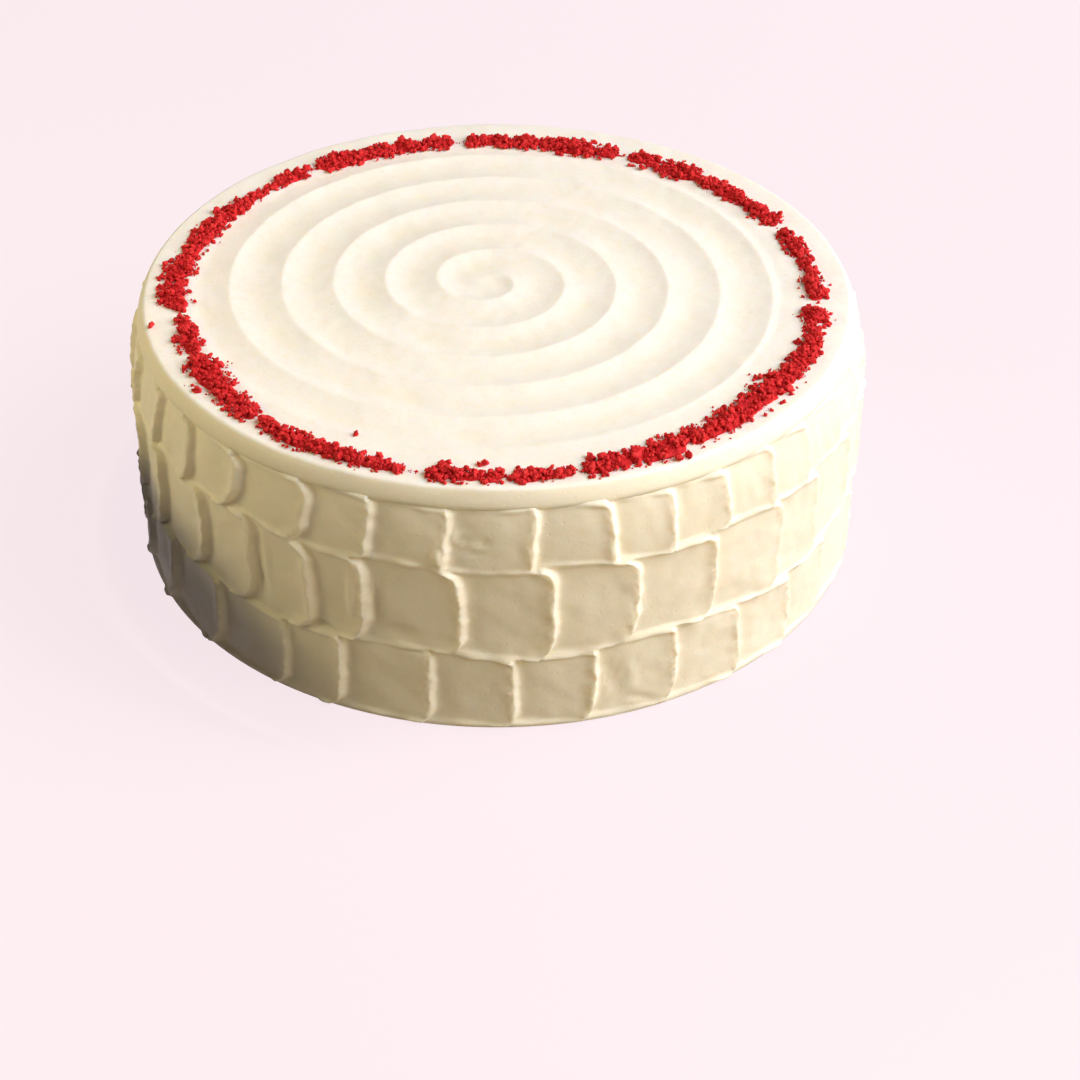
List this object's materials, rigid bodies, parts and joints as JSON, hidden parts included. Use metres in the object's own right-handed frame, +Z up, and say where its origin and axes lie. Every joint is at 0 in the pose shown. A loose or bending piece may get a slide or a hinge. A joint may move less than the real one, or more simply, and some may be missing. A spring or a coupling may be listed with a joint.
{
  "type": "red velvet cake",
  "caption": "Round layer cake under white icing, with a spiral on top, palette-knife petals in tiers round the side and a ring of red crumbs near the rim.",
  "frame": {"origin": "centre of the flat underside, on the cake's axis", "axes": "+Z up along the cake's axis, -Y towards the side that faces the viewer"},
  "size_m": [0.2145, 0.215, 0.0783],
  "materials": {
    "icing": "satin",
    "crumb": "matte"
  },
  "bodies": {
    "root": {"iced_cake": "icing"}
  },
  "joints": []
}
